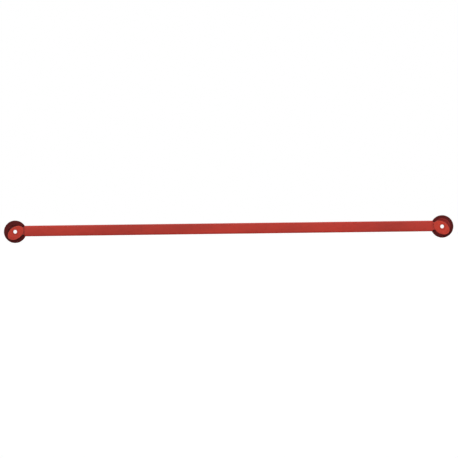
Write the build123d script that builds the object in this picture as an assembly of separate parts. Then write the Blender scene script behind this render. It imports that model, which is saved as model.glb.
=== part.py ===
"""Spreader beam: a square tube with a grooved sheave at each end.

Frame: origin midway between the two sheave pins, on the line that joins their axes.
+X runs along the beam to the right end, -Y faces the front, +Z is up.  Millimetres.
Each end is made once, as the right end in its place, and mirrored to give the left end.
"""
import os
from math import radians, sin, tan

from build123d import *

# Main tube: square hollow section
PIN_SPACING = 3000.0        # between the axes of the two sheave pins
TUBE_SETBACK = 66.0         # pin axis to the tube's end
TUBE_SIZE = 75.0            # outside, across the flats
TUBE_WALL = 5.0
TUBE_CORNER = 10.0          # outside corner radius
TUBE_RISE = 4.0             # tube's middle line above the pin axes

# Straps: flat bars that go inside the tube and hold the pin in a round eye
STRAP_THICKNESS = 10.0
STRAP_CORNER_GAP = 0.5      # strap's edge to the start of the tube's inside corner
STRAP_INSERTION = 100.0     # length inside the tube
STRAP_NECK_RADIUS = 6.0     # hollow corner between bar and eye

# Cheek plates: ovals lapped on the straps, flush with the tube's side faces
CHEEK_LONG_RADIUS = 61.5    # half of the oval's long axis
CHEEK_SHORT_RADIUS = 42.0
CHEEK_TILT = 35.0           # degrees, outer end of the long axis down
CHEEK_DROP = 8.0            # oval's centre below the pin axis
CHEEK_INSET = 4.0           # oval's centre inboard of the pin axis
CHEEK_CHAMFER = 1.2

# Hollow pin: welded-tube axle whose bore takes the load pin
PIN_DIAMETER = 40.0
PIN_BORE = 27.0
PIN_END_CHAMFER = 1.0
PIN_OVERHANG = 4.0          # pin's end beyond the cheek plate
PIN_SEAT_GAP = 0.05         # radial, pin in strap and cheek

# Retaining rings in grooves at the ends of the pin
RING_THICKNESS = 1.75
RING_GROOVE_DEPTH = 1.25
RING_WIDTH = 4.4            # radial, at the back of the ring
RING_TAPER = 0.7            # by this much the ring is narrower at its open side
RING_GAP = 9.0              # opening between the two lugs
RING_LUG_SIZE = 6.4
RING_LUG_REACH = 8.2        # from the ring's inside to the lug's end
RING_LUG_HOLE = 2.5
RING_SIDE_GAP = 0.1         # groove wider than ring
RING_SEAT_GAP = 0.05        # radial, ring in its groove

# Thrust washers
WASHER_THICKNESS = 2.0
WASHER_INSET = 4.0          # washer's edge inside the hub's edge
WASHER_PIN_GAP = 0.2        # radial

# Sheave
SHEAVE_DIAMETER = 158.0
SHEAVE_RIM_DEPTH = 30.0     # radial, flange tip to the inside of the rim
SHEAVE_WEB = 26.0           # thickness between hub and rim
SHEAVE_HUB_WALL = 9.0       # round the bush
SHEAVE_SIDE_GAP = 0.25      # hub face to thrust washer
SHEAVE_RIM_GAP = 3.5        # rim to strap
SHEAVE_DRAFT = 2.0          # how far the cast side walls lean
SHEAVE_FILLET = 3.0
SHEAVE_TIP_FILLET = 1.5
SHEAVE_BORE_FILLET = 0.5
FLANGE_TIP = 4.0            # thickness of each flange at the rim
GROOVE_FLANK = 20.0         # degrees, flank to the plane of the sheave
GROOVE_DEPTH = 20.0

# Bush pressed into the sheave, turning on the pin
BUSH_WALL = 5.0
BUSH_RUN_GAP = 0.05         # radial, bush on pin
BUSH_SEAT_GAP = 0.02        # radial, bush in sheave
BUSH_RECESS = 0.25          # bush ends below the hub faces

# Notches in the tube's top and bottom walls, where the sheave passes
NOTCH_RUN_GAP = 8.0         # sheave to the notch's closed end
NOTCH_CORNER = 6.0

# Diaphragm that closes the tube behind the straps
DIAPHRAGM_THICKNESS = 6.0
DIAPHRAGM_GAP = 0.2

# Fillet welds: strap to the tube's end face, and cheek to the strap's edges
WELD_BULGE = 0.5
WELD_TOE_SETBACK = 0.6      # end weld's toe below the tube's side face
END_WELD_GAP = 2.0          # end weld stops short of the strap's edges
LAP_WELD_LEG = 4.0
LAP_WELD_START = 44.0       # inboard of the pin axis
TOP_LAP_LENGTH = 34.0
BOTTOM_LAP_LENGTH = 15.0

# Worked out from the sizes above
PIN_X = PIN_SPACING / 2
TUBE_END = PIN_X - TUBE_SETBACK
TUBE_BORE = TUBE_SIZE - 2 * TUBE_WALL
TUBE_BORE_CORNER = TUBE_CORNER - TUBE_WALL
STRAP_OUTER_Y = TUBE_BORE / 2
STRAP_INNER_Y = STRAP_OUTER_Y - STRAP_THICKNESS
STRAP_END = TUBE_END - STRAP_INSERTION
STRAP_HEIGHT = TUBE_BORE - 2 * (TUBE_BORE_CORNER + STRAP_CORNER_GAP)
STRAP_TOP = TUBE_RISE + STRAP_HEIGHT / 2
STRAP_BOTTOM = TUBE_RISE - STRAP_HEIGHT / 2
CHEEK_OUTER_Y = TUBE_SIZE / 2
PIN_RADIUS = PIN_DIAMETER / 2
PIN_HALF_LENGTH = CHEEK_OUTER_Y + PIN_OVERHANG
BUSH_BORE_RADIUS = PIN_RADIUS + BUSH_RUN_GAP
BUSH_RADIUS = BUSH_BORE_RADIUS + BUSH_WALL
HUB_HALF_WIDTH = STRAP_INNER_Y - WASHER_THICKNESS - SHEAVE_SIDE_GAP
HUB_RADIUS = BUSH_RADIUS + BUSH_SEAT_GAP + SHEAVE_HUB_WALL
RIM_HALF_WIDTH = STRAP_INNER_Y - SHEAVE_RIM_GAP
SHEAVE_RADIUS = SHEAVE_DIAMETER / 2
GROOVE_HALF_OPENING = RIM_HALF_WIDTH - FLANGE_TIP

# Planes seen from the front: x along the beam, y up, normal towards the front
FRONT_VIEW = Plane.XZ
PIN_PLANE = Plane(origin=(PIN_X, 0, 0), x_dir=(1, 0, 0), z_dir=(0, -1, 0))


def main_tube():
    """Square hollow section with a notch in its top and bottom walls at each end."""
    section = RectangleRounded(TUBE_SIZE, TUBE_SIZE, TUBE_CORNER)
    section -= RectangleRounded(TUBE_BORE, TUBE_BORE, TUBE_BORE_CORNER)
    tube = extrude(Plane.YZ * section, TUBE_END, both=True)
    tube = Pos(0, 0, TUBE_RISE) * tube
    notch_start = PIN_X - SHEAVE_RADIUS - NOTCH_RUN_GAP
    notch_length = TUBE_END - notch_start
    outline = RectangleRounded(2 * notch_length, 2 * STRAP_INNER_Y, NOTCH_CORNER)
    for side in (-1, 1):
        cutter = extrude(Pos(side * TUBE_END, 0, TUBE_RISE) * outline, TUBE_SIZE, both=True)
        tube -= cutter
    return tube


def strap_outline():
    """Flat bar and round eye of a strap, seen from the front."""
    length = PIN_X - STRAP_END
    outline = Pos(PIN_X - length / 2, TUBE_RISE) * Rectangle(length, STRAP_HEIGHT)
    outline += Pos(PIN_X, 0) * Circle(STRAP_TOP)
    bottom_corners = outline.vertices().filter_by(lambda corner: abs(corner.Y - STRAP_BOTTOM) < 0.01)
    hollow_corner = bottom_corners.sort_by(Axis.X)[-1]
    return fillet(hollow_corner, STRAP_NECK_RADIUS)


def front_strap():
    """Front strap, its outer face against the inside of the tube's front wall."""
    plate = extrude(FRONT_VIEW.offset(STRAP_INNER_Y) * strap_outline(), STRAP_THICKNESS)
    hole = PIN_PLANE * Cylinder(PIN_RADIUS + PIN_SEAT_GAP, TUBE_SIZE)
    return plate - hole


def front_cheek():
    """Front cheek plate, an oval on the outer face of the front strap."""
    oval = Ellipse(CHEEK_LONG_RADIUS, CHEEK_SHORT_RADIUS)
    outline = Pos(PIN_X - CHEEK_INSET, -CHEEK_DROP) * Rot(0, 0, -CHEEK_TILT) * oval
    plate = extrude(FRONT_VIEW.offset(STRAP_OUTER_Y) * outline, CHEEK_OUTER_Y - STRAP_OUTER_Y)
    outer_edges = plate.faces().sort_by(Axis.Y)[0].edges()
    plate = chamfer(outer_edges, CHEEK_CHAMFER)
    hole = PIN_PLANE * Cylinder(PIN_RADIUS + PIN_SEAT_GAP, 2 * TUBE_SIZE)
    return plate - hole


def diaphragm():
    """Plate across the inside of the tube, against the ends of both straps."""
    side = TUBE_BORE - 2 * DIAPHRAGM_GAP
    outline = RectangleRounded(side, side, TUBE_BORE_CORNER)
    return Pos(STRAP_END, 0, TUBE_RISE) * extrude(Plane.YZ * outline, -DIAPHRAGM_THICKNESS)


def weld_bead(corner, leg, length):
    """Fillet weld with its root on the corner plane's z axis and a leg along its x and y."""
    on_x = Vector(leg, 0)
    on_y = Vector(0, leg)
    crown = (on_x + on_y) / 2 + Vector(1, 1).normalized() * WELD_BULGE
    outline = Line(Vector(), on_x) + ThreePointArc(on_x, crown, on_y) + Line(on_y, Vector())
    return extrude(corner * make_face(outline), length)


def front_welds():
    """The front strap's weld to the tube's end, and its two lap welds behind the cheek."""
    start = PIN_X - LAP_WELD_START
    end_corner = Plane(
        origin=(TUBE_END, -STRAP_OUTER_Y, STRAP_TOP - END_WELD_GAP),
        x_dir=(1, 0, 0),
        z_dir=(0, 0, -1),
    )
    top_corner = Plane(
        origin=(start, -STRAP_OUTER_Y, STRAP_TOP),
        x_dir=(0, 1, 0),
        z_dir=(1, 0, 0),
    )
    bottom_corner = Plane(
        origin=(start, -STRAP_OUTER_Y, STRAP_BOTTOM),
        x_dir=(0, 0, -1),
        z_dir=(1, 0, 0),
    )
    end_leg = TUBE_WALL - WELD_TOE_SETBACK
    return [
        weld_bead(end_corner, end_leg, STRAP_HEIGHT - 2 * END_WELD_GAP),
        weld_bead(top_corner, LAP_WELD_LEG, TOP_LAP_LENGTH),
        weld_bead(bottom_corner, LAP_WELD_LEG, BOTTOM_LAP_LENGTH),
    ]


def hollow_pin():
    """Tubular axle with a ring groove near each end, just outside the cheek plates."""
    pin = Cylinder(PIN_RADIUS, 2 * PIN_HALF_LENGTH) - Cylinder(PIN_BORE / 2, 2 * PIN_HALF_LENGTH)
    rims = pin.edges().filter_by(GeomType.CIRCLE)
    pin = chamfer(rims, PIN_END_CHAMFER)
    groove_width = RING_THICKNESS + RING_SIDE_GAP
    groove = Cylinder(PIN_DIAMETER, groove_width)
    groove -= Cylinder(PIN_RADIUS - RING_GROOVE_DEPTH, groove_width)
    for side in (-1, 1):
        pin -= Pos(0, 0, side * (CHEEK_OUTER_Y + groove_width / 2)) * groove
    return PIN_PLANE * pin


def front_circlip():
    """Retaining ring with two drilled lugs, its opening towards the top."""
    inside = PIN_RADIUS - RING_GROOVE_DEPTH + RING_SEAT_GAP
    outer = inside + RING_WIDTH - RING_TAPER / 2
    ring = Pos(0, -RING_TAPER / 2) * Circle(outer)
    lug = RectangleRounded(RING_LUG_SIZE, RING_LUG_REACH + RING_WIDTH, RING_LUG_SIZE / 3)
    hole = Circle(RING_LUG_HOLE / 2)
    lug_top = inside + RING_LUG_REACH
    for side in (-1, 1):
        lug_x = side * (RING_GAP + RING_LUG_SIZE) / 2
        ring += Pos(lug_x, lug_top - (RING_LUG_REACH + RING_WIDTH) / 2) * lug
    ring -= Circle(inside)
    ring -= Pos(0, lug_top) * Rectangle(RING_GAP, 2 * lug_top)
    for side in (-1, 1):
        lug_x = side * (RING_GAP + RING_LUG_SIZE) / 2
        ring -= Pos(lug_x, lug_top - RING_LUG_SIZE / 2) * hole
    face = PIN_PLANE.offset(CHEEK_OUTER_Y) * ring
    return extrude(face, RING_THICKNESS)


def front_thrust_washer():
    """Washer on the pin, against the inner face of the front strap."""
    washer = Circle(HUB_RADIUS - WASHER_INSET) - Circle(PIN_RADIUS + WASHER_PIN_GAP)
    return extrude(PIN_PLANE.offset(STRAP_INNER_Y - WASHER_THICKNESS) * washer, WASHER_THICKNESS)


def sheave():
    """Cast sheave: hub, web and a rim with a round-bottomed rope groove."""
    bore = BUSH_RADIUS + BUSH_SEAT_GAP
    rim_inside = SHEAVE_RADIUS - SHEAVE_RIM_DEPTH
    flank = radians(GROOVE_FLANK)
    vee_height = GROOVE_HALF_OPENING / tan(flank)
    groove_radius = (vee_height - GROOVE_DEPTH) / (1 / sin(flank) - 1)
    front_side = [
        (bore, HUB_HALF_WIDTH, SHEAVE_BORE_FILLET),
        (HUB_RADIUS, HUB_HALF_WIDTH, SHEAVE_TIP_FILLET),
        (HUB_RADIUS + SHEAVE_DRAFT, SHEAVE_WEB / 2, SHEAVE_FILLET),
        (rim_inside - SHEAVE_DRAFT, SHEAVE_WEB / 2, SHEAVE_FILLET),
        (rim_inside, RIM_HALF_WIDTH, SHEAVE_TIP_FILLET),
        (SHEAVE_RADIUS, RIM_HALF_WIDTH, SHEAVE_TIP_FILLET),
        (SHEAVE_RADIUS, GROOVE_HALF_OPENING, SHEAVE_TIP_FILLET),
    ]
    back_side = [(r, -y, fillet_radius) for r, y, fillet_radius in reversed(front_side)]
    corners = front_side + [(SHEAVE_RADIUS - vee_height, 0, groove_radius)] + back_side
    points = [(r, y) for r, y, _ in corners]
    radii = [fillet_radius for _, _, fillet_radius in corners]
    outline = make_face(FilletPolyline(*points, radius=radii, close=True))
    return Pos(PIN_X, 0, 0) * revolve(outline, Axis.Y)


def sheave_bush():
    """Plain bearing bush pressed into the sheave's hub."""
    bush = Circle(BUSH_RADIUS) - Circle(BUSH_BORE_RADIUS)
    return extrude(PIN_PLANE * bush, HUB_HALF_WIDTH - BUSH_RECESS, both=True)


def front_and_rear(name, front_piece):
    """The front piece and its mirror image at the rear, under their own names."""
    return {f"front_{name}": front_piece, f"rear_{name}": mirror(front_piece, Plane.XZ)}


def right_end():
    """Every piece of the right end, by name."""
    welds = front_welds()
    welds += [mirror(weld, Plane.XZ) for weld in front_welds()]
    pieces = {
        "diaphragm": diaphragm(),
        "weld_beads": Compound(children=welds),
        "hollow_pin": hollow_pin(),
        "sheave": sheave(),
        "sheave_bush": sheave_bush(),
    }
    pieces |= front_and_rear("strap", front_strap())
    pieces |= front_and_rear("cheek", front_cheek())
    pieces |= front_and_rear("thrust_washer", front_thrust_washer())
    pieces |= front_and_rear("circlip", front_circlip())
    return pieces


def main():
    """Write every piece to its own STEP file."""
    os.makedirs("parts", exist_ok=True)
    nodes = {"main_tube": main_tube()}
    for name, piece in right_end().items():
        nodes[f"right_{name}"] = piece
        nodes[f"left_{name}"] = mirror(piece, Plane.YZ)
    for name, piece in nodes.items():
        export_step(piece, f"parts/{name}.step")


main()
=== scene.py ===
"""Looks of a spreader beam: a square tube with a grooved sheave between cheek plates at each end.

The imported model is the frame, and its places are kept: metres, +X along the beam to the right end,
-Y to the front, +Z up, origin midway between the two sheave pins.
"""
import logging
import math
from abc import ABC, abstractmethod
from dataclasses import dataclass, replace
from enum import Enum

import bpy
import numpy as np
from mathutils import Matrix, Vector

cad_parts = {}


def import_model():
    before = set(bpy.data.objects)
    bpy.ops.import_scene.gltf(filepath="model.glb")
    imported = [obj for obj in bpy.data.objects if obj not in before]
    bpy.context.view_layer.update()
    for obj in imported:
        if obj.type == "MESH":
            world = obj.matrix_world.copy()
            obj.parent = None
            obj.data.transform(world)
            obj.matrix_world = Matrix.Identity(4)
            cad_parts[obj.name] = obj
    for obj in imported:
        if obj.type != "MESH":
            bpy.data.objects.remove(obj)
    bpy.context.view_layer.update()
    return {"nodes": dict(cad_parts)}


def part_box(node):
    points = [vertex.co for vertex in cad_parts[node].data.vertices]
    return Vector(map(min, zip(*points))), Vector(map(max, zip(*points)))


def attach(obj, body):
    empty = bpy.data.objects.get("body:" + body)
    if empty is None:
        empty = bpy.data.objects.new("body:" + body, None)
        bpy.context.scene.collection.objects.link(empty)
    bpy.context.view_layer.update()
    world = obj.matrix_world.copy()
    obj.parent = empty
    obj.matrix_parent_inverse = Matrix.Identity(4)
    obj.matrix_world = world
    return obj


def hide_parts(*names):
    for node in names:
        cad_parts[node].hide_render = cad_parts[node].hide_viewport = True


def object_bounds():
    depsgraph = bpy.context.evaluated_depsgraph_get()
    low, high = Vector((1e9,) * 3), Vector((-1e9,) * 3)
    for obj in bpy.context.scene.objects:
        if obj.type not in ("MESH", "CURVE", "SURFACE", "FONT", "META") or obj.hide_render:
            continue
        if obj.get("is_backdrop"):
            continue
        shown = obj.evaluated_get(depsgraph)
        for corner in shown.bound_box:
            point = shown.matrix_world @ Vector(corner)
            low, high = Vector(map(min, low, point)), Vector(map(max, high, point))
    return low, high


logging.basicConfig(level=logging.INFO, format="%(levelname)s %(message)s")
log = logging.getLogger("spreader_beam")

MM = 0.001
Colour = tuple[float, float, float, float]
Socket = bpy.types.NodeSocket
Value = Socket | float | Colour
Span = tuple[float, float]


class End(Enum):
    """The two ends of the beam. The value is the sign of X on the way out."""

    LEFT = -1
    RIGHT = 1

    def node(self, piece: str) -> str:
        """Name of this end's CAD node for a piece."""
        return f"{self.name.lower()}_{piece}"

    def sheave_body(self) -> str:
        """Name of the CAD body that turns at this end."""
        return f"{self.name.lower()}_sheave_body"

    def pin_centre(self) -> Vector:
        """Middle of this end's hollow pin, in the frame."""
        low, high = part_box(self.node("hollow_pin"))
        return (low + high) / 2


WEB_PAINTED_LIGHT = {End.LEFT: 0.07, End.RIGHT: 0.92}     # how far each sheave's web is painted lighter, as painted light
NECK_PAINTED_LIGHT = {End.LEFT: 0.0, End.RIGHT: 0.22}     # the same painted light for the straps and their welds, over the painted shade of their darker red


class Face(Enum):
    """The two faces of the beam. The value is the sign of Y."""

    FRONT = -1
    REAR = 1

    def piece(self, name: str) -> str:
        """Name of the front or rear piece of a pair."""
        return f"{self.name.lower()}_{name}"


# ---------------------------------------------------------------------------------------------
# Finishes
# ---------------------------------------------------------------------------------------------


@dataclass(frozen=True)
class Pattern:
    """A noise in the metal or paint, cut to soft-edged patches."""

    grain: float                    # size of a patch, in metres
    detail: float                   # finer layers in the noise
    low: float                      # noise at which a patch starts
    high: float                     # noise at which it is full
    stretch: float = 1.0            # how many times longer a patch is along its long way
    lean: float = 0.0               # turn of that long way from X, about Y, in degrees


class Graph:
    """Short words for building a node tree."""

    def __init__(self, tree: bpy.types.NodeTree) -> None:
        """Add to this tree."""
        self.tree = tree

    def feed(self, socket: Socket, value: Value) -> None:
        """Link a socket to another, or set its own value.

        Args:
            socket: the input to feed.
            value: an output to link, or a plain value.
        """
        if isinstance(value, Socket):
            self.tree.links.new(value, socket)
        else:
            socket.default_value = value

    def node(
        self, kind: str, inputs: dict[str | int, Value] | None = None, **settings: str
    ) -> bpy.types.Node:
        """Add a node.

        Args:
            kind: Blender's name for it, without ShaderNode.
            inputs: what feeds its inputs, by their names or numbers.
            settings: its own choices, which are made before the inputs are fed.

        Returns:
            The node.
        """
        node = self.tree.nodes.new(f"ShaderNode{kind}")
        for name, setting in settings.items():
            setattr(node, name, setting)
        for place, value in (inputs or {}).items():
            self.feed(node.inputs[place], value)
        return node

    def math(self, operation: str, *values: Socket | float) -> Socket:
        """Result of one sum, by Blender's name for it, of one to three values."""
        return self.node("Math", dict(enumerate(values)), operation=operation).outputs[0]

    def step(self, value: Socket, low: float, high: float) -> Socket:
        """Smooth step of a value, which starts at the low one and is full at the high one."""
        inputs = {"Value": value, "From Min": low, "From Max": high}
        return self.node("MapRange", inputs, interpolation_type="SMOOTHSTEP").outputs[0]

    def fade(self, value: Socket, span: Span, result: Span) -> Socket:
        """Turn a value's own span into another one, evenly."""
        limits = zip(("From Min", "From Max", "To Min", "To Max"), span + result)
        return self.node("MapRange", {"Value": value, **dict(limits)}).outputs[0]


class MaterialGraph(Graph):
    """The node tree of one material, with one shader."""

    def __init__(self, name: str, roughness: float, metallic: float = 0.0) -> None:
        """Start the material.

        Args:
            name: the material's name.
            roughness: uniform roughness, until something else feeds it.
            metallic: 0 for paint, 1 for bare metal, until something else feeds it.
        """
        self.material = bpy.data.materials.new(name)
        self.material.use_nodes = True
        super().__init__(self.material.node_tree)
        self.tree.nodes.clear()
        self.shader = self.node("BsdfPrincipled", {"Roughness": roughness, "Metallic": metallic})
        self.node("OutputMaterial", {"Surface": self.shader.outputs[0]})
        self.place = self.node("TexCoord").outputs["Object"]

    def finish(self, inputs: dict[str, Value]) -> bpy.types.Material:
        """Feed the shader's inputs.

        Args:
            inputs: what feeds each, by its name.

        Returns:
            The material.
        """
        for name, value in inputs.items():
            self.feed(self.shader.inputs[name], value)
        return self.material

    def noise(
        self, grain: float, detail: float = 3.0, stretch: float = 1.0, lean: float = 0.0
    ) -> Socket:
        """Noise on Object coordinates, about 0.5 in the middle.

        Args:
            grain: size of a patch, in metres.
            detail: number of finer layers.
            stretch: how many times longer a patch is along its long way.
            lean: turn of that long way from X, about Y, in degrees.

        Returns:
            The noise value.
        """
        turn = (0, math.radians(lean), 0)
        inputs = {"Vector": self.place, "Scale": (stretch, 1, 1), "Rotation": turn}
        mapped = self.node("Mapping", inputs, vector_type="TEXTURE").outputs[0]
        inputs = {"Vector": mapped, "Scale": 1 / grain, "Detail": detail}
        return self.node("TexNoise", inputs).outputs["Fac"]

    def patches(self, pattern: Pattern) -> Socket:
        """Share of a pattern, 0 between its patches and 1 inside them."""
        noise = self.noise(pattern.grain, pattern.detail, pattern.stretch, pattern.lean)
        return self.step(noise, pattern.low, pattern.high)

    def mix(self, share: Socket | float, first: Socket | Colour, second: Socket | Colour) -> Socket:
        """Blend two colours: a share of 0 is the first one, and 1 the second."""
        blend = self.node("Mix", {"Factor": share, "A": first, "B": second}, data_type="RGBA")
        return next(s for s in blend.outputs if s.type == "RGBA")

    def attribute(self, name: str) -> Socket:
        """Number stored on the mesh, or 0 where the mesh has none."""
        return self.node("Attribute", attribute_name=name).outputs["Fac"]

    def bump(self, height: Socket, distance: float, under: Socket | None = None) -> Socket:
        """Normal of a bumpy surface.

        Args:
            height: from 0 to 1.
            distance: depth of the relief, in metres.
            under: normal of a coarser bump below this one.

        Returns:
            The normal.
        """
        inputs = {"Distance": distance, "Height": height}
        if under is not None:
            inputs["Normal"] = under
        return self.node("Bump", inputs).outputs[0]


@dataclass(frozen=True)
class Enamel:
    """Sprayed enamel over steel, with faint clouding, scratches, dust, chipped edges, painted
    highlights on the edges and painted light.
    """

    name: str
    colour: Colour
    roughness: float = 0.45
    gloss: float = 0.30             # specular level
    cast: bool = False              # sand-cast skin under the paint
    dust: Colour = (0.46, 0.38, 0.32, 1)
    steel: Colour = (0.23, 0.21, 0.20, 1)
    primer: Colour = (0.20, 0.055, 0.035, 1)
    clouds: Pattern = Pattern(160 * MM, 4, 0.3, 0.7, stretch=3)
    clouding: float = 0.12          # how much lighter and darker the clouds are
    lines: Pattern = Pattern(4 * MM, 5, 0.60, 0.75, stretch=40)
    line_share: float = 0.14        # most of the second colour that the lines take
    line_light: float = 1.35        # that colour, as a factor on the paint's; so on below
    runs: Pattern = Pattern(30 * MM, 3, 0.55, 0.75)
    run_share: float = 0.35
    run_dark: float = 0.72
    edge_share: float = 0.60        # how far an edge goes to its painted highlight colour
    edge_light: float = 1.9
    # factor on the paint's colour where the painted light is full
    tone_light: float = 3.6
    scuff_share: float = 0.5
    scuff_light: float = 1.5
    scuff_dulling: float = 0.25     # added to the roughness
    scuff_relief: float = 0.2       # depth, as a share of a chip's
    scratch: Pattern = Pattern(1.6 * MM, 1, 0.64, 0.72)
    scratch_lengths: tuple[float, ...] = (45, 30, 22)   # in widths, for each area below
    scratched: tuple[Pattern, ...] = (
        Pattern(110 * MM, 2, 0.56, 0.68, stretch=2, lean=3),
        Pattern(70 * MM, 2, 0.56, 0.68, stretch=2, lean=-24),
        Pattern(50 * MM, 2, 0.56, 0.68, stretch=2, lean=58),
    )
    chips: Span = (3.5 * MM, 6)     # grain and finer layers of the noise
    chip_noise: float = 0.9         # weight of the noise that breaks up the chips
    chipping: float = 0.52          # weight of the mesh's wear
    chip_scuffs: float = 0.07       # weight of the scratches
    to_primer: Span = (0.80, 0.84)
    to_steel: Span = (0.90, 0.93)
    steel_metal: float = 0.9
    dusting: Pattern = Pattern(30 * MM, 6, 0.35, 0.7)
    facing_up: Span = (0.55, 0.98)
    dust_share: float = 0.11
    dust_dulling: float = 1.2
    sheen: Span = (20 * MM, 4)      # grain and finer layers of the noise
    sheen_range: float = 0.22       # roughness from the glossiest to the dullest patch
    peel: Span = (2.2 * MM, 3)      # grain and finer layers of the noise
    peel_depth: float = 0.12 * MM
    skin: Span = (4.5 * MM, 5)      # the same, of the casting's skin
    skin_depth: float = 0.8 * MM
    chip_depth: float = 0.25 * MM

    def shade(self, factor: float) -> Colour:
        """The paint's colour, lighter or darker by a factor."""
        red, green, blue, _ = self.colour
        return (red * factor, green * factor, blue * factor, 1)

    def material(self) -> bpy.types.Material:
        """Build the finish.

        The mesh's tone attribute lightens the paint as painted light, and its wear
        attribute marks the edges: there the paint is lighter as a painted highlight, and where a
        fine noise is high as well it has gone down to primer and then to steel.

        Returns:
            The material.
        """
        graph = MaterialGraph(self.name, self.roughness)
        wear = graph.attribute("wear")
        scuffs = self.scuffs(graph)
        worn = graph.math("MULTIPLY", wear, self.chipping)
        edge = graph.math("MULTIPLY_ADD", graph.noise(*self.chips), self.chip_noise, worn)
        edge = graph.math("MULTIPLY_ADD", scuffs, self.chip_scuffs, edge)
        primed = graph.step(edge, *self.to_primer)
        bared = graph.step(edge, *self.to_steel)
        dusty = self.dustiness(graph)
        scuffed = graph.math("MULTIPLY", scuffs, self.scuff_share)
        colour = graph.mix(scuffed, self.painted(graph, wear), self.shade(self.scuff_light))
        colour = graph.mix(dusty, colour, self.dust)
        colour = graph.mix(primed, colour, self.primer)
        glossiest = self.roughness - self.sheen_range / 2
        dull = graph.math("MULTIPLY_ADD", graph.noise(*self.sheen), self.sheen_range, glossiest)
        dull = graph.math("MULTIPLY_ADD", dusty, self.dust_dulling, dull)
        return graph.finish(
            {
                "Base Color": graph.mix(bared, colour, self.steel),
                "Roughness": graph.math("MULTIPLY_ADD", scuffs, self.scuff_dulling, dull),
                "Metallic": graph.math("MULTIPLY", bared, self.steel_metal),
                "Specular IOR Level": self.gloss,
                "Normal": self.relief(graph, primed, scuffs),
            }
        )

    def painted(self, graph: MaterialGraph, wear: Socket) -> Socket:
        """Work out the sound paint: clouds, brush lines, runs, painted highlights on the edges and
        the mesh's painted light.

        Args:
            graph: the finish's nodes.
            wear: the mesh's wear, which also places the painted edge highlight.

        Returns:
            The paint's colour.
        """
        darker, lighter = self.shade(1 - self.clouding), self.shade(1 + self.clouding)
        colour = graph.mix(graph.patches(self.clouds), darker, lighter)
        layers = (
            (graph.patches(self.lines), self.line_share, self.line_light),
            (graph.patches(self.runs), self.run_share, self.run_dark),
            # painted highlight: edges lighter where the wear attribute is high
            (wear, self.edge_share, self.edge_light),
        )
        for place, most, light in layers:
            colour = graph.mix(graph.math("MULTIPLY", place, most), colour, self.shade(light))
        # painted light: the mesh's tone attribute lightens the paint
        return graph.mix(graph.attribute("tone"), colour, self.shade(self.tone_light))

    def scuffs(self, graph: MaterialGraph) -> Socket:
        """Work out the thin scratches, which lean three ways, each in its own patches.

        Args:
            graph: the finish's nodes.

        Returns:
            The share of rubbed paint.
        """
        share: Socket | float = 0.0
        for patches, length in zip(self.scratched, self.scratch_lengths):
            scratch = replace(self.scratch, stretch=length, lean=patches.lean)
            marks = graph.math("MULTIPLY", graph.patches(scratch), graph.patches(patches))
            share = graph.math("MAXIMUM", marks, share)
        return share

    def dustiness(self, graph: MaterialGraph) -> Socket:
        """Work out the dust, in patches on what faces up.

        Args:
            graph: the finish's nodes.

        Returns:
            The share of dust.
        """
        normal = graph.node("NewGeometry").outputs["Normal"]
        facing = graph.node("SeparateXYZ", {0: normal}).outputs["Z"]
        upward = graph.step(facing, *self.facing_up)
        settled = graph.math("MULTIPLY", upward, graph.patches(self.dusting))
        return graph.math("MULTIPLY", settled, self.dust_share)

    def relief(self, graph: MaterialGraph, primed: Socket, scuffs: Socket) -> Socket:
        """Work out the paint's relief: orange peel, the casting's skin, scratches and chips.

        Args:
            graph: the finish's nodes.
            primed: the share of paint lost to primer.
            scuffs: the share of rubbed paint.

        Returns:
            The normal.
        """
        relief = graph.bump(graph.noise(*self.peel), self.peel_depth)
        if self.cast:
            relief = graph.bump(graph.noise(*self.skin), self.skin_depth, relief)
        lost = graph.math("MULTIPLY_ADD", scuffs, self.scuff_relief, primed)
        return graph.bump(graph.math("SUBTRACT", 1.0, lost), self.chip_depth, relief)


@dataclass(frozen=True)
class TurnedMetal:
    """Bare metal turned on a lathe: fine rings about the pin's axis, with stains."""

    name: str
    colour: Colour
    stain: Colour
    roughness: float = 0.34
    pitch: float = 0.6 * MM         # between two tool marks
    mark_depth: float = 0.02 * MM
    stains: Pattern = Pattern(12 * MM, 6, 0.42, 0.72)
    stain_share: float = 0.6
    stain_dulling: float = 0.25     # added to the roughness

    def material(self, pin_offset: float) -> bpy.types.Material:
        """Build the finish.

        Args:
            pin_offset: distance of the pins' axes from the YZ plane, in metres.

        Returns:
            The material, whose rings are centred on the pins' axes at both ends.
        """
        graph = MaterialGraph(self.name, self.roughness, metallic=1.0)
        axes = graph.node("SeparateXYZ", {0: graph.place}).outputs
        along = graph.math("SUBTRACT", graph.math("ABSOLUTE", axes["X"]), pin_offset)
        across = graph.math("POWER", along, 2.0)
        up = graph.math("POWER", axes["Z"], 2.0)
        radius = graph.math("SQRT", graph.math("ADD", across, up))
        both = graph.math("ADD", radius, graph.math("ABSOLUTE", axes["Y"]))
        rings = graph.math("SINE", graph.math("MULTIPLY", both, 2 * math.pi / self.pitch))
        stains = graph.patches(self.stains)
        stained = graph.math("MULTIPLY", stains, self.stain_share)
        return graph.finish(
            {
                "Base Color": graph.mix(stained, self.colour, self.stain),
                "Roughness": graph.math(
                    "MULTIPLY_ADD", stains, self.stain_dulling, self.roughness
                ),
                "Normal": graph.bump(rings, self.mark_depth),
            }
        )


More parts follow.
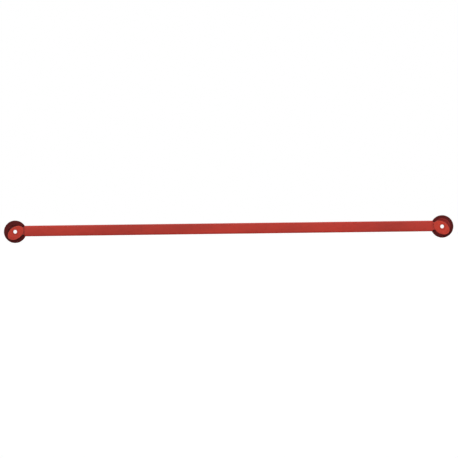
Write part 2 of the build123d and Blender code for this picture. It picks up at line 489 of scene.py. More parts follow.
@dataclass(frozen=True)
class FloorFinish:
    """Pale matt studio floor. It throws less light back on the object than the camera sees."""

    name: str = "pale_floor"
    seen: Colour = (0.86, 0.86, 0.86, 1)
    thrown: Colour = (0.56, 0.56, 0.56, 1)
    lift: float = 0.36              # glow that keeps the seen floor near white
    roughness: float = 0.9

    def material(self) -> bpy.types.Material:
        """Build the finish.

        Returns:
            The material.
        """
        graph = MaterialGraph(self.name, self.roughness)
        sight = graph.node("LightPath").outputs["Is Camera Ray"]
        return graph.finish(
            {
                "Base Color": graph.mix(sight, self.thrown, self.seen),
                "Emission Color": self.seen,
                "Emission Strength": graph.math("MULTIPLY", sight, self.lift),
            }
        )


class Finishes:
    """Every finish of the beam, made once and shared by its pieces."""

    def __init__(self, pin_offset: float) -> None:
        """Build the materials.

        Args:
            pin_offset: distance of the pins' axes from the YZ plane, in metres.
        """
        self.tube_red = Enamel("tube_red_enamel", (0.50, 0.031, 0.0160, 1)).material()
        self.plate_red = Enamel("plate_red_enamel", (0.53, 0.034, 0.0150, 1)).material()
        # painted shade: straps and welds sit in the recess at the tube's end, so they get darker
        # copies of the red enamel
        self.strap_red = Enamel("strap_red_enamel", (0.36, 0.026, 0.0170, 1)).material()
        self.weld_red = Enamel("weld_red_enamel", (0.29, 0.026, 0.019, 1), roughness=0.5).material()
        self.sheave_maroon = Enamel(
            "sheave_maroon_paint", (0.105, 0.0085, 0.0080, 1), roughness=0.5, gloss=0.1, cast=True
        ).material()
        self.pin_steel = TurnedMetal(
            "pin_bore_steel", (0.42, 0.40, 0.38, 1), (0.16, 0.11, 0.08, 1)
        ).material(pin_offset)
        self.bronze = TurnedMetal(
            "bush_bronze", (0.56, 0.34, 0.13, 1), (0.22, 0.13, 0.06, 1)
        ).material(pin_offset)


# ---------------------------------------------------------------------------------------------
# Surfaces
# ---------------------------------------------------------------------------------------------


@dataclass
class Surface:
    """A closed surface on a grid of points, and the numbers stored on them."""

    points: np.ndarray              # (along, round, 3); always closed in the second direction
    wear: np.ndarray                # (along, round), 0 to 1
    ring: bool                      # closed in the first direction too, or else capped
    tone: np.ndarray | None = None  # (along, round), 0 to 1, painted light; or none for 0 all over

    def faces(self) -> list[list[int]]:
        """Quads of the grid and, on an open one, a cap at each end.

        Returns:
            Vertex numbers of each face, turned so that the enclosed volume is positive.
        """
        along, around = self.points.shape[:2]
        number = np.arange(along * around).reshape(along, around)
        rows = number if self.ring else number[:-1]
        ahead = np.roll(number, -1, axis=0)[: len(rows)]
        quads = np.stack(
            [rows, ahead, np.roll(ahead, -1, axis=1), np.roll(rows, -1, axis=1)], axis=-1
        ).reshape(-1, 4)
        corner = self.points.reshape(-1, 3)[quads]
        first = np.cross(corner[:, 1], corner[:, 2])
        second = np.cross(corner[:, 2], corner[:, 3])
        volume = np.einsum("ij,ij->", corner[:, 0], first + second)
        outward = volume > 0
        made = (quads if outward else quads[:, ::-1]).tolist()
        if not self.ring:
            start = number[0] if outward else number[0][::-1]
            finish = number[-1][::-1] if outward else number[-1]
            made += [start.tolist(), finish.tolist()]
        return made

    def make(self, name: str, sharp_angle: float = 32.0) -> bpy.types.Object:
        """Put the surface into a mesh object at the origin.

        Args:
            name: the piece's name.
            sharp_angle: edges that turn by more than this, in degrees, stay crisp.

        Returns:
            The object, linked to the scene.
        """
        mesh = bpy.data.meshes.new(name)
        mesh.from_pydata(self.points.reshape(-1, 3).tolist(), [], self.faces())
        mesh.validate()
        mesh.polygons.foreach_set("use_smooth", np.ones(len(mesh.polygons), bool))
        mesh.set_sharp_from_angle(angle=math.radians(sharp_angle))
        tone = np.zeros_like(self.wear) if self.tone is None else self.tone
        for attribute, values in (("wear", self.wear), ("tone", tone)):
            stored = mesh.attributes.new(attribute, "FLOAT", "POINT")
            stored.data.foreach_set("value", values.reshape(-1).astype(np.float32))
        piece = bpy.data.objects.new(name, mesh)
        bpy.context.scene.collection.objects.link(piece)
        return piece


@dataclass
class Outline:
    """A closed flat outline with rounded corners."""

    points: np.ndarray              # (n, 2)
    wear: np.ndarray                # (n,), 1 in the middle of an outward corner

    @staticmethod
    def rounded(corners: list[tuple[float, float, float]], steps: int = 5) -> "Outline":
        """Replace each corner by an arc that touches both of its sides.

        The arc's centre lies on the corner's bisector, at radius / sin(half the corner's angle)
        from it. The arc's points are the two touching points' directions, blended by the sines
        of the angles still to turn and already turned.

        Args:
            corners: first coordinate, second coordinate and radius of each corner.
            steps: segments of each arc.

        Returns:
            The outline.
        """
        table = np.array(corners, float)
        corner, radius = table[:, :2], table[:, 2]
        back = np.roll(corner, 1, axis=0) - corner
        ahead = np.roll(corner, -1, axis=0) - corner
        back /= np.linalg.norm(back, axis=1, keepdims=True)
        ahead /= np.linalg.norm(ahead, axis=1, keepdims=True)
        half = np.arccos(np.clip((back * ahead).sum(1), -1, 1)) / 2
        bisector = (back + ahead) / np.linalg.norm(back + ahead, axis=1, keepdims=True)
        centre = corner + bisector * (radius / np.sin(half))[:, None]
        reach = (radius / np.tan(half))[:, None]
        start = corner + back * reach - centre
        finish = corner + ahead * reach - centre
        turn = (math.pi - 2 * half)[:, None]
        share = np.linspace(0, 1, steps + 1)[None, :]
        from_start = np.sin((1 - share) * turn) / np.sin(turn)
        from_finish = np.sin(share * turn) / np.sin(turn)
        arcs = centre[:, None] + start[:, None] * from_start[..., None]
        arcs = arcs + finish[:, None] * from_finish[..., None]
        bend = back[:, 0] * ahead[:, 1] - back[:, 1] * ahead[:, 0]
        shoelace = np.roll(corner, -1, axis=0)
        area = (corner[:, 0] * shoelace[:, 1] - corner[:, 1] * shoelace[:, 0]).sum()
        outward = (bend * area < 0).astype(float)[:, None]
        wear = outward * np.sin(math.pi * share)
        return Outline(arcs.reshape(-1, 2), wear.reshape(-1))

    def refined(self, longest: float) -> "Outline":
        """Split the long runs, so that numbers stored on the points can change along them.

        Each run is cut into equal parts: its length over the longest allowed, rounded up.

        Args:
            longest: longest run that stays whole.

        Returns:
            The same outline with more points.
        """
        ahead = np.roll(self.points, -1, axis=0)
        run = np.linalg.norm(ahead - self.points, axis=1)
        parts = np.maximum(1, np.ceil(run / longest)).astype(int)
        index = np.repeat(np.arange(len(parts)), parts)
        step = np.arange(len(index)) - np.repeat(np.cumsum(parts) - parts, parts)
        share = step / parts[index]
        points = self.points[index] + (ahead - self.points)[index] * share[:, None]
        wear = self.wear[index] + (np.roll(self.wear, -1) - self.wear)[index] * share
        return Outline(points, wear)

    def revolved(self, centre: Vector, segments: int) -> Surface:
        """Turn the outline, radius against Y, about the axis through a point along Y.

        Args:
            centre: a point on the axis.
            segments: steps round the axis.

        Returns:
            The closed ring: each point is the centre, plus the radius along the turned
            direction, plus the outline's second coordinate along Y.
        """
        angle = np.linspace(0, 2 * math.pi, segments, endpoint=False)[:, None]
        radius, width = self.points[:, 0], self.points[:, 1]
        x = centre.x + radius * np.cos(angle)
        z = centre.z + radius * np.sin(angle)
        y = np.broadcast_to(centre.y + width, x.shape)
        wear = np.broadcast_to(self.wear, x.shape)
        return Surface(np.stack([x, y, z], axis=-1), wear, ring=True)


def there_and_back(half: list[tuple[float, float, float]]) -> list[tuple[float, float, float]]:
    """Corners of a section: one half's, as radius, Y and rounding, and then their mirror images."""
    return half + [(radius, -y, corner) for radius, y, corner in reversed(half)]


def quarter_round(radius: float, steps: int) -> tuple[np.ndarray, np.ndarray, np.ndarray]:
    """How far the points of a rounded edge lie in from its side and its face, and their wear."""
    turn = np.linspace(0, math.pi / 2, steps + 1)
    return radius * (1 - np.sin(turn)), radius * (1 - np.cos(turn)), np.sin(2 * turn)


def finish_piece(
    piece: bpy.types.Object, body: str, material: bpy.types.Material, replaced: str
) -> None:
    """Dress a new piece and hand it to the frame.

    Args:
        piece: the mesh object, in its place.
        body: CAD body that it rides on.
        material: its finish.
        replaced: CAD node that it stands for.
    """
    piece.data.materials.append(material)
    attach(piece, body)
    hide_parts(replaced)
    log.info("%s: %d faces, for %s", piece.name, len(piece.data.polygons), replaced)


def dress_node(node: bpy.types.Object, material: bpy.types.Material) -> None:
    """Give a CAD node a better finish in place of its own.

    Args:
        node: the CAD node's object.
        material: its finish.
    """
    node.data.materials.clear()
    node.data.materials.append(material)
    log.info("%s: CAD node, dressed in %s", node.name, material.name)


# ---------------------------------------------------------------------------------------------
# Sub-assemblies
# ---------------------------------------------------------------------------------------------


@dataclass
class MainTube:
    """The square tube, notched at both ends, as one skin outside and inside."""

    wall: float = 5 * MM
    corner: float = 10 * MM         # outside corner radius
    notch_half_width: float = 22.5 * MM
    notch_depth: float = 21 * MM
    notch_corner: float = 6 * MM
    edge: float = 0.5 * MM          # rounding of the cut edges
    sliver: float = 0.02 * MM       # width of the step at the notch's side
    plain_from: float = 1.6         # notch depths from the tube's end to its plain run
    corner_wear: float = 0.9        # most wear on the long corners, which also lightens them as painted highlight
    corner_steps: int = 10
    notch_steps: int = 8
    edge_steps: int = 3

    def section(self, half: float) -> tuple[np.ndarray, np.ndarray, np.ndarray]:
        """Walk round the tube's section.

        Each stop is a point of the inner square of corner centres, and the way out from it.
        Flats keep their way out and move; corners stay and turn by a quarter.

        Args:
            half: half of the tube's size.

        Returns:
            Centres (n, 2) and outward directions (n, 2) in Y and Z, and how far the notch has
            cut each stop back from the tube's end (n,).
        """
        core = half - self.corner
        turn = np.linspace(0, math.pi / 2, self.notch_steps)
        inner = self.notch_half_width - self.notch_corner
        arc = inner + self.notch_corner * np.sin(turn)
        arc_cut = self.notch_depth - self.notch_corner * (1 - np.cos(turn))
        side = np.concatenate([arc, [self.notch_half_width + self.sliver, core]])
        side_cut = np.concatenate([arc_cut, [0, 0]])
        notched = np.concatenate([-side[::-1], side])
        notched_cut = np.concatenate([side_cut[::-1], side_cut])
        plain = np.array([-core, core])
        centres, outward, cuts = [], [], []
        sides = [(notched, notched_cut), (plain, plain * 0)] * 2
        for quarter, (along, cut) in enumerate(sides):
            angle = math.pi / 2 - quarter * math.pi / 2
            way = np.array([math.cos(angle), math.sin(angle)])
            forward = np.array([math.sin(angle), -math.cos(angle)])
            centres.append(core * way + along[:, None] * forward)
            outward.append(np.broadcast_to(way, (len(along), 2)))
            cuts.append(cut)
            bend = angle - np.linspace(0, math.pi / 2, self.corner_steps)[1:-1]
            centres.append(np.broadcast_to(core * (way + forward), (len(bend), 2)))
            outward.append(np.stack([np.cos(bend), np.sin(bend)], axis=-1))
            cuts.append(bend * 0)
        return np.concatenate(centres), np.concatenate(outward), np.concatenate(cuts)

    def build(self) -> Surface:
        """Carry the section along the tube, out over the skin and back inside.

        Every stop's place is its centre, plus the corner radius less the depth below the skin
        along its way out; its X is the tube's end less the notch's cut there. The cut edges
        are quarter rounds in X and depth.

        Returns:
            The surface, closed both ways.
        """
        low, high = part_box("main_tube")
        end = high.x
        half = (high.y - low.y) / 2
        middle = (low.z + high.z) / 2
        centre, outward, cut = self.section(half)
        in_from_end, depth, edge_wear = quarter_round(self.edge, self.edge_steps)
        lip_x = np.concatenate([in_from_end, in_from_end[::-1]])
        lip_depth = np.concatenate([depth, self.wall - depth[::-1]])
        lip_wear = np.concatenate([edge_wear, edge_wear[::-1]])
        run = end - self.plain_from * self.notch_depth
        right = (end - cut)[None, :] - lip_x[:, None]
        left = -right[::-1]
        flat = np.ones_like(cut)
        x = np.concatenate([[-run * flat], [run * flat], right, [run * flat], [-run * flat], left])
        below = np.concatenate(
            [[0, 0], lip_depth, [self.wall, self.wall], lip_depth[::-1]]
        )[:, None, None]
        worn = np.concatenate([[0, 0], lip_wear, [0, 0], lip_wear[::-1]])[:, None]
        place = centre[None] + outward[None] * (self.corner - below)
        rounded = 1 - np.abs(outward).max(axis=1)
        outside = below[..., 0] == 0
        wear = np.clip(worn + outside * rounded[None] * self.corner_wear, 0, 1)
        points = np.stack([x, place[..., 0], place[..., 1] + middle], axis=-1)
        return Surface(points, wear, ring=True)

    def dress(self, finishes: Finishes) -> None:
        """Make the tube's skin and give it its red enamel."""
        piece = self.build().make("tube_skin")
        finish_piece(piece, "beam", finishes.tube_red, "main_tube")


@dataclass
class PinPlate(ABC):
    """A flat plate with the pin's hole in it, on one face of one end."""

    end: End
    face: Face
    tone: float = 0.0               # how far the paint is lighter, as painted light
    kind: str = ""                  # which piece of a pair it is, in the CAD nodes' names
    edge: float = 1.2 * MM          # rounding of the outline's edges
    halo: float = 3 * MM            # width of the painted highlight band inside the edge
    halo_wear: float = 0.4
    hole_radius: float = 20.05 * MM
    hole_wear: float = 0.3
    stops: int = 300
    fine_stops: int = 6001          # directions tried to walk the outline's length
    edge_steps: int = 5

    @property
    def node(self) -> str:
        """Name of the CAD node that the plate stands for."""
        return self.end.node(self.face.piece(self.kind))

    @abstractmethod
    def reach(self, angle: np.ndarray) -> np.ndarray:
        """Distance from the pin's axis to the plate's outline, in each direction.

        Args:
            angle: directions, 0 along the way out and a quarter turn up.

        Returns:
            The distances.
        """

    def outline(self) -> tuple[np.ndarray, np.ndarray]:
        """Space the stops evenly along the outline, by the length walked from its start.

        Returns:
            The stops (n, 2) and the outward normals there (n, 2).
        """
        fine = np.linspace(0, 2 * math.pi, self.fine_stops)
        dense = self.reach(fine) * np.stack([np.cos(fine), np.sin(fine)])
        walked = np.concatenate([[0], np.cumsum(np.linalg.norm(np.diff(dense), axis=0))])
        at = np.linspace(0, walked[-1], self.stops, endpoint=False)
        points = np.stack([np.interp(at, walked, row) for row in dense], axis=-1)
        tangent = np.roll(points, -1, axis=0) - np.roll(points, 1, axis=0)
        tangent /= np.linalg.norm(tangent, axis=1, keepdims=True)
        return points, np.stack([tangent[:, 1], -tangent[:, 0]], axis=-1)

    def build(self) -> Surface:
        """Carry the plate's section round its outline.

        At each stop the section runs from the hole straight out over one face, round the edge
        along the outline's normal, back over the other face, and through the hole.

        Returns:
            The surface, closed both ways.
        """
        low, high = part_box(self.node)
        centre = self.end.pin_centre()
        half = (high.y - low.y) / 2
        points, normal = self.outline()
        in_from_side, drop, edge_wear = quarter_round(self.edge, self.edge_steps)
        side = np.concatenate([[self.edge + self.halo], in_from_side])
        drop = np.concatenate([[0], drop])
        side_wear = np.concatenate([[0, self.halo_wear], edge_wear[1:]])
        inward = np.concatenate([side, side[::-1]])
        rim = points[:, None] - normal[:, None] * inward[None, :, None]
        bevel = self.edge / 4
        way = points / np.linalg.norm(points, axis=1, keepdims=True)
        hole_radii = self.hole_radius + np.array([0, bevel])
        near = way[:, None] * hole_radii[None, :, None]
        flat = np.concatenate([near, rim, near[:, ::-1]], axis=1)
        height = np.concatenate([[half - bevel, half], half - drop])
        height = np.concatenate([height, -height[::-1]])
        wear = np.concatenate([[0, self.hole_wear], side_wear])
        wear = np.concatenate([wear, wear[::-1]])
        x = centre.x + self.end.value * flat[..., 0]
        y = np.broadcast_to((low.y + high.y) / 2 + height, x.shape)
        z = centre.z + flat[..., 1]
        points = np.stack([x, y, z], axis=-1)
        tone = np.full(x.shape, self.tone)
        return Surface(points, np.broadcast_to(wear, x.shape), ring=True, tone=tone)


@dataclass
class CheekPlate(PinPlate):
    """One cheek plate: a leaning oval, flush with the tube's side."""

    kind: str = "cheek"
    long_radius: float = 61.5 * MM
    short_radius: float = 42 * MM
    tilt: float = math.radians(35)
    drop: float = 8 * MM
    inset: float = 4 * MM

    def reach(self, angle: np.ndarray) -> np.ndarray:
        """Distance from the pin's axis to the oval: the root of its equation along the ray.

        Args:
            angle: directions, 0 along the way out and a quarter turn up.

        Returns:
            The distances.
        """
        ray = np.stack([np.cos(angle), np.sin(angle)])
        cosine, sine = math.cos(self.tilt), math.sin(self.tilt)
        lean = np.array([[cosine, -sine], [sine, cosine]])
        scale = np.array([[1 / self.long_radius], [1 / self.short_radius]])
        across = scale * (lean @ ray)
        centre = scale[:, 0] * (lean @ np.array([-self.inset, -self.drop]))
        square = (across**2).sum(0)
        product = (across * centre[:, None]).sum(0)
        constant = (centre**2).sum() - 1
        return (product + np.sqrt(product**2 - square * constant)) / square

    def dress(self, finishes: Finishes) -> None:
        """Make the plate and give it its red enamel."""
        piece = self.build().make(f"{self.node}_plate")
        finish_piece(piece, "beam", finishes.plate_red, self.node)


@dataclass
class Strap(PinPlate):
    """One strap: a flat bar from inside the tube, with a round eye about the pin."""

    kind: str = "strap"
    edge: float = 0.8 * MM
    neck_blend: float = 7 * MM

    def reach(self, angle: np.ndarray) -> np.ndarray:
        """Distance from the pin's axis to the strap's outline, in each direction.

        The bar's reach is the nearest of its end and its two sides, and the eye's is its
        radius. The larger counts, and the two melt together where they are within the neck's
        blend of each other.

        Args:
            angle: directions, 0 along the way out and a quarter turn up.

        Returns:
            The distances.
        """
        low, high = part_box(self.node)
        tube_low, tube_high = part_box("main_tube")
        length = abs(self.end.pin_centre().x) - min(abs(low.x), abs(high.x))
        eye = high.z
        depth = eye - (tube_low.z + tube_high.z)
        out, up = np.cos(angle), np.sin(angle)
        with np.errstate(divide="ignore"):
            nearest_side = np.minimum(eye / np.maximum(up, 0), depth / np.maximum(-up, 0))
            bar = np.minimum(length / np.maximum(-out, 0), nearest_side)
        bar = np.where(out < 0, bar, 0)
        melt = np.clip(self.neck_blend - np.abs(eye - bar), 0, None) ** 2 / (4 * self.neck_blend)
        return np.maximum(eye, bar) + melt * (up < 0)

    def dress(self, finishes: Finishes) -> None:
        """Make the strap and give it its darker red enamel, as painted shade."""
        piece = self.build().make(f"{self.node}_bar")
        finish_piece(piece, "beam", finishes.strap_red, self.node)


@dataclass
class WeldBead:
    """One fillet weld, laid in ripples along the corner between two faces."""

    name: str
    start: Vector                   # one end of the corner
    along: Vector                   # unit vector along the corner
    first: Vector                   # unit vector away from the corner, along one of the faces
    second: Vector                  # the same, along the other face
    length: float
    leg: float
    tone: float = 0.0               # how far the paint is lighter, as painted light
    pitch: float = 2.4 * MM
    ripple: float = 0.09            # height of a ripple, as a share of the bead's bulge
    second_ripple: float = 0.35     # share of the half-pitch wave that makes it lopsided
    second_phase: float = 0.8
    toe_lag: float = 1.3            # radians by which the ripple lags at the toes
    fullness: float = 0.92          # bead's toe, as a share of its leg
    taper: float = 2.2              # legs over which the bead's ends taper
    least: float = 0.02             # share of the size that the ends keep
    wear: float = 0.15
    sink: float = 0.3 * MM          # how far the bead is fused into both faces
    steps_per_ripple: int = 9
    round_steps: int = 14
    crisp: float = 60.0             # edges that turn by more than this, in degrees, stay sharp

    def build(self) -> Surface:
        """Carry a bulging three-sided section along the corner.

        The section is the root, and a quarter ellipse from one face to the other. Its size
        follows the square root of the distance to the nearer end of the bead, and swells with
        a sawtooth-like ripple whose phase lags at both toes.

        Returns:
            The surface, capped at both ends.
        """
        stops = round(self.length / self.pitch * self.steps_per_ripple)
        run = np.linspace(0, self.length, stops)[:, None]
        to_end = np.minimum(run, self.length - run)
        share = np.clip(to_end / (self.taper * self.leg), self.least, 1)
        full = self.fullness * self.leg * share**0.5
        turn = np.linspace(0, math.pi / 2, self.round_steps)[None, :]
        phase = 2 * math.pi * run / self.pitch + self.toe_lag * np.cos(2 * turn) ** 2
        ripple = np.sin(phase) + self.second_ripple * np.sin(2 * phase + self.second_phase)
        size = full * (1 + self.ripple * ripple * np.sin(2 * turn))
        root = np.full((stops, 1), -self.sink)
        on_first = np.concatenate([size * np.cos(turn), root], axis=1)
        on_second = np.concatenate([size * np.sin(turn), root], axis=1)
        on_second[:, 0] = -self.sink
        on_first[:, self.round_steps - 1] = -self.sink
        points = np.array(self.start) + run[..., None] * np.array(self.along)
        points = points + on_first[..., None] * np.array(self.first)
        points = points + on_second[..., None] * np.array(self.second)
        wear = np.full(on_first.shape, self.wear)
        return Surface(points, wear, ring=False, tone=np.full(wear.shape, self.tone))

    def dress(self, finishes: Finishes, node: str) -> None:
        """Make the bead and give it its darker enamel, as painted shade, for a CAD node."""
        piece = self.build().make(self.name, self.crisp)
        finish_piece(piece, "beam", finishes.weld_red, node)


@dataclass
class StrapWelds:
    """The three beads on one strap: one at the tube's end, and two laps behind the cheek."""

    end: End
    face: Face
    tone: float                     # how far the paint is lighter, as painted light
    end_leg: float = 4.4 * MM
    end_gap: float = 2 * MM         # bead stops short of the strap's edges
    lap_leg: float = 4 * MM
    lap_start: float = 44 * MM      # inboard of the pin's axis
    top_length: float = 34 * MM
    bottom_length: float = 15 * MM

    def beads(self) -> list[WeldBead]:
        """Work out the beads from the boxes of the strap and the tube.

        Returns:
            The bead at the tube's end, and the cheek's upper and lower ones.
        """
        out = Vector((self.end.value, 0, 0))
        away = Vector((0, self.face.value, 0))
        up = Vector((0, 0, 1))
        strap_low, strap_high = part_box(self.end.node(self.face.piece("strap")))
        tube_low, tube_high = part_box("main_tube")
        seat = strap_low.y if self.face is Face.FRONT else strap_high.y
        tube_end = tube_low.x if self.end is End.LEFT else tube_high.x
        top = strap_high.z
        bottom = tube_low.z + tube_high.z - top
        lap_x = self.end.pin_centre().x - self.end.value * self.lap_start
        foot = Vector((tube_end, seat, bottom + self.end_gap))
        height = top - bottom - 2 * self.end_gap
        above = Vector((lap_x, seat, top))
        below = Vector((lap_x, seat, bottom))
        side = self.end.node(self.face.piece(""))
        leg, tone = self.lap_leg, self.tone
        return [
            WeldBead(f"{side}end_weld", foot, up, out, away, height, self.end_leg, tone),
            WeldBead(f"{side}top_weld", above, out, -away, up, self.top_length, leg, tone),
            WeldBead(f"{side}bottom_weld", below, out, -away, -up, self.bottom_length, leg, tone),
        ]

    def dress(self, finishes: Finishes) -> None:
        """Make all three beads."""
        for bead in self.beads():
            bead.dress(finishes, self.end.node("weld_beads"))


@dataclass
class SheaveWheel:
    """The cast sheave: hub, web, rim and rope groove, turned in one piece."""

    end: End
    bore_radius: float = 25.07 * MM
    hub_wall: float = 9 * MM
    web: float = 26 * MM
    rim_depth: float = 30 * MM
    rim_half_width: float = 19 * MM
    flange_tip: float = 4 * MM
    groove_depth: float = 20 * MM
    flank: float = math.radians(20)
    draft: float = 2 * MM
    soft: float = 1.5 * MM          # rounding of the edges
    bore_soft: float = 0.5 * MM
    hollow: float = 3 * MM          # rounding of the inside corners
    arc_steps: int = 7
    web_tone: float = 0.15          # how far the web is painted lighter than the rim, as painted light
    rub_radius: float = 60 * MM     # where the painted light ends
    rub_fade: float = 8 * MM
    rope_wear: float = 0.62         # how worn the bottom of the groove is
    rope_reach: float = 11 * MM     # how far up the groove the wear goes
    segments: int = 168

    def build(self) -> Surface:
        """Turn the sheave's section about the pin's axis.

        The groove is a V whose bottom is an arc: the V's height is the half opening over the
        flank's tangent, and the arc's radius is what brings its bottom to the groove's depth.

        Returns:
            The surface, closed both ways.
        """
        low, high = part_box(self.end.node("sheave"))
        radius = (high.x - low.x) / 2
        hub_half_width = (high.y - low.y) / 2
        hub = self.bore_radius + self.hub_wall
        rim_inside = radius - self.rim_depth
        opening = self.rim_half_width - self.flange_tip
        vee = opening / math.tan(self.flank)
        groove_radius = (vee - self.groove_depth) / (1 / math.sin(self.flank) - 1)
        half = [
            (self.bore_radius, hub_half_width, self.bore_soft),
            (hub, hub_half_width, self.soft),
            (hub + self.draft, self.web / 2, self.hollow),
            (rim_inside - self.draft, self.web / 2, self.hollow),
            (rim_inside, self.rim_half_width, self.soft),
            (radius, self.rim_half_width, self.soft),
            (radius, opening, self.soft),
        ]
        whole = there_and_back(half)
        whole.insert(len(half), (radius - vee, 0, groove_radius))
        outline = Outline.rounded(whole, self.arc_steps).refined(self.soft * 2)
        in_groove = outline.points[:, 0] > (rim_inside + radius) / 2
        in_groove &= np.abs(outline.points[:, 1]) < opening
        from_bottom = outline.points[:, 0] - (radius - self.groove_depth)
        scuffed = in_groove * np.clip(1 - from_bottom / self.rope_reach, 0, 1)
        outline.wear = np.maximum(outline.wear, self.rope_wear * scuffed)
        surface = outline.revolved(self.end.pin_centre(), self.segments)
        # painted light: the web is painted lighter inside rub_radius, fading out over rub_fade
        painted_lit = np.clip((self.rub_radius - outline.points[:, 0]) / self.rub_fade, 0, 1)
        surface.tone = np.broadcast_to(self.web_tone * painted_lit, surface.wear.shape)
        return surface

    def dress(self, finishes: Finishes) -> None:
        """Make the wheel and give it its maroon paint.

        Args:
            finishes: the beam's finishes.
        """
        piece = self.build().make(self.end.node("sheave_wheel"))
        node = self.end.node("sheave")
        finish_piece(piece, self.end.sheave_body(), finishes.sheave_maroon, node)


@dataclass
class HollowPin:
    """The tubular pin, with a ring groove near each end."""

    end: End
    bore_radius: float = 13.5 * MM
    chamfer: float = 1 * MM
    groove_depth: float = 1.25 * MM
    groove_width: float = 1.85 * MM
    arc_steps: int = 3
    segments: int = 96

    def build(self) -> Surface:
        """Turn the pin's section about its own axis.

        Returns:
            The surface, closed both ways.
        """
        low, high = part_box(self.end.node("hollow_pin"))
        radius = (high.x - low.x) / 2
        half = (high.y - low.y) / 2
        soft = self.chamfer / 4
        shank = radius - self.groove_depth
        groove_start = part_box(self.end.node("rear_cheek"))[1].y
        groove_end = groove_start + self.groove_width
        corners = there_and_back(
            [
                (self.bore_radius, half - self.chamfer, soft),
                (self.bore_radius + self.chamfer, half, soft),
                (radius - self.chamfer, half, soft),
                (radius, half - self.chamfer, soft),
                (radius, groove_end, soft / 2),
                (shank, groove_end, soft / 2),
                (shank, groove_start, soft / 2),
                (radius, groove_start, soft / 2),
            ]
        )
        outline = Outline.rounded(corners, self.arc_steps)
        return outline.revolved(self.end.pin_centre(), self.segments)

    def dress(self, finishes: Finishes) -> None:
        """Make the pin: red where it shows outside, bare steel in its bore.

        Args:
            finishes: the beam's finishes.
        """
        piece = self.build().make(self.end.node("pin_tube"))
        node = self.end.node("hollow_pin")
        finish_piece(piece, "beam", finishes.plate_red, node)
        piece.data.materials.append(finishes.pin_steel)
        centre = self.end.pin_centre()
        middles = np.zeros(len(piece.data.polygons) * 3)
        piece.data.polygons.foreach_get("center", middles)
        middles = middles.reshape(-1, 3) - np.array(centre)
        inside = np.hypot(middles[:, 0], middles[:, 2]) < self.bore_radius + self.chamfer / 3
        piece.data.polygons.foreach_set("material_index", inside.astype(int))


def dress_small_parts(end: End, nodes: dict[str, bpy.types.Object], finishes: Finishes) -> None:
    """Give one end's CAD nodes that keep their shape their finishes.

    Args:
        end: which end.
        nodes: every CAD node's object, by name.
        finishes: the beam's finishes.
    """
    chosen = {
        "diaphragm": finishes.tube_red,
        "sheave_bush": finishes.bronze,
        "front_thrust_washer": finishes.bronze,
        "rear_thrust_washer": finishes.bronze,
        "front_circlip": finishes.plate_red,
        "rear_circlip": finishes.plate_red,
    }
    for piece, material in chosen.items():
        dress_node(nodes[end.node(piece)], material)


# ---------------------------------------------------------------------------------------------
# Studio
# ---------------------------------------------------------------------------------------------


@dataclass(frozen=True)
class Lamp:
    """One soft, even light."""

    name: str
    towards: tuple[float, float, float]     # the way its rays go
    power: float
    spread: float                   # angular size, in degrees

    def hang(self) -> None:
        """Add the light to the scene."""
        data = bpy.data.lights.new(self.name, "SUN")
        data.energy = self.power
        data.angle = math.radians(self.spread)
        lamp = bpy.data.objects.new(self.name, data)
        lamp.rotation_euler = Vector(self.towards).to_track_quat("-Z", "Y").to_euler()
        bpy.context.scene.collection.objects.link(lamp)


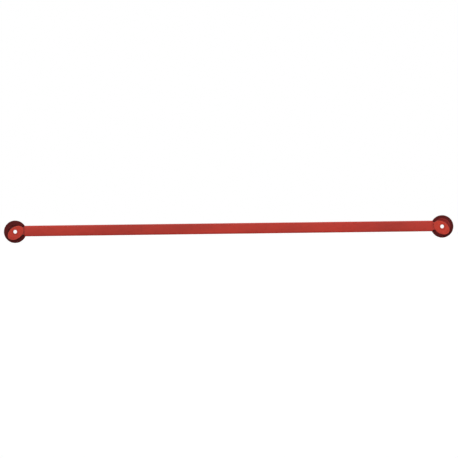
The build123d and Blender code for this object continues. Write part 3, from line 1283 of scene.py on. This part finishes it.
@dataclass
class Studio:
    """Pale floor, white surroundings, soft lights and the camera."""

    distance: float = 60.0          # camera to beam: far off, so that both bores are seen through
    frame_width: float = 3.2186     # seen at the beam
    sensor: float = 36.0            # millimetres
    roll: float = math.radians(0.72)
    aim: tuple[float, float, float] = (0.0025, 0.0, 0.0005)
    floor_size: float = 400.0
    clip: float = 4.0               # far limit of the camera, in distances
    from_above: tuple[Span, Span] = ((-0.3, 0.9), (0.28, 0.78))     # world, against Z
    from_front: tuple[Span, Span] = ((0.2, 1.0), (1.0, 0.35))       # world, against Y either way
    lamps: tuple[Lamp, ...] = (
        Lamp("key", (0.35, 0.95, -0.45), 1.05, 50),
        Lamp("fill", (-0.4, 0.9, -0.08), 0.55, 40),
        Lamp("top_back", (0.1, -0.6, -0.9), 0.5, 40),
    )

    def floor(self) -> None:
        """Lay the floor under the lowest point of the object."""
        low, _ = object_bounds()
        corner = np.array([(-1, -1), (1, -1), (1, 1), (-1, 1)]) * self.floor_size / 2
        level = np.full((4, 1), low.z)
        mesh = bpy.data.meshes.new("floor")
        mesh.from_pydata(np.hstack([corner, level]).tolist(), [], [(0, 1, 2, 3)])
        mesh.materials.append(FloorFinish().material())
        floor = bpy.data.objects.new("floor", mesh)
        bpy.context.scene.collection.objects.link(floor)
        floor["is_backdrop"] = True

    def surroundings(self) -> None:
        """White to the camera; as light, strong from above and dim from front and back."""
        world = bpy.data.worlds.new("studio")
        bpy.context.scene.world = world
        world.use_nodes = True
        graph = Graph(world.node_tree)
        sky = graph.node("TexCoord").outputs["Generated"]
        direction = graph.node("SeparateXYZ", {0: sky}).outputs
        from_above = graph.fade(direction["Z"], *self.from_above)
        depth = graph.math("ABSOLUTE", direction["Y"])
        glow = graph.math("MULTIPLY", from_above, graph.fade(depth, *self.from_front))
        sight = graph.node("LightPath").outputs["Is Camera Ray"]
        strength = graph.node("Mix", {"Factor": sight, "A": glow, "B": 1.0}).outputs[0]
        background = world.node_tree.nodes["Background"]
        graph.feed(background.inputs["Color"], (1, 1, 1, 1))
        graph.feed(background.inputs["Strength"], strength)

    def camera(self) -> None:
        """Set the camera square to the front, far away, with the right end a little high."""
        data = bpy.data.cameras.new("camera")
        data.sensor_width = self.sensor
        data.lens = self.sensor * self.distance / self.frame_width
        data.clip_end = self.clip * self.distance
        eye = bpy.data.objects.new("camera", data)
        eye.location = Vector(self.aim) - Vector((0, self.distance, 0))
        eye.rotation_euler = (math.pi / 2, self.roll, 0)
        bpy.context.scene.collection.objects.link(eye)
        bpy.context.scene.camera = eye

    def set_up(self) -> None:
        """Build the whole studio."""
        bpy.context.scene.view_settings.view_transform = "Standard"
        self.floor()
        self.surroundings()
        for lamp in self.lamps:
            lamp.hang()
        self.camera()
        log.info("studio: floor, surroundings, %d lights, camera", len(self.lamps))


def main() -> None:
    """Build every sub-assembly round the frame, then the studio."""
    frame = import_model()
    nodes = frame["nodes"]
    finishes = Finishes(pin_offset=abs(End.RIGHT.pin_centre().x))
    MainTube().dress(finishes)
    for end in End:
        for face in Face:
            CheekPlate(end, face).dress(finishes)
            Strap(end, face, NECK_PAINTED_LIGHT[end]).dress(finishes)
            StrapWelds(end, face, NECK_PAINTED_LIGHT[end]).dress(finishes)
        SheaveWheel(end, web_tone=WEB_PAINTED_LIGHT[end]).dress(finishes)
        HollowPin(end).dress(finishes)
        dress_small_parts(end, nodes, finishes)
    Studio().set_up()


if __name__ == "__main__":
    main()
